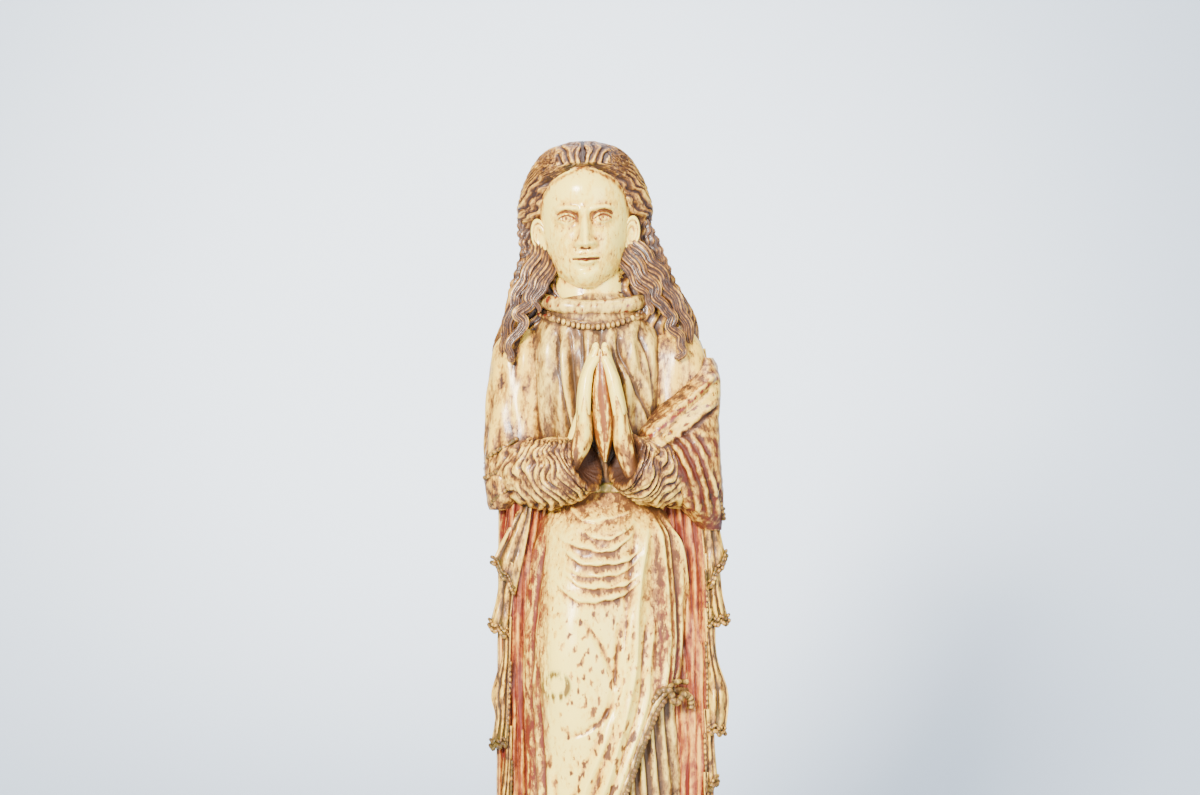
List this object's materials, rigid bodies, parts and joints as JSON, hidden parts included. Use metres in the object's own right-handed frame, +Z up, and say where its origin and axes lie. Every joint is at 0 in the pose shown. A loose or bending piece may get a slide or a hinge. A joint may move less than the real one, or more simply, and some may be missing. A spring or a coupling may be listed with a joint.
{
  "type": "ivory madonna statuette",
  "caption": "Standing praying woman carved in ivory: long hair, belted gown, overskirt and mantle in hanging folds, on a low oval base.",
  "frame": {"origin": "centre of the base's underside", "axes": "+Z up the figure; the figure faces -Y; +X is at the figure's left hand"},
  "size_m": [0.062, 0.047, 0.1976],
  "materials": {
    "ivory": "satin"
  },
  "bodies": {
    "root": {"statuette": "ivory"}
  },
  "joints": []
}
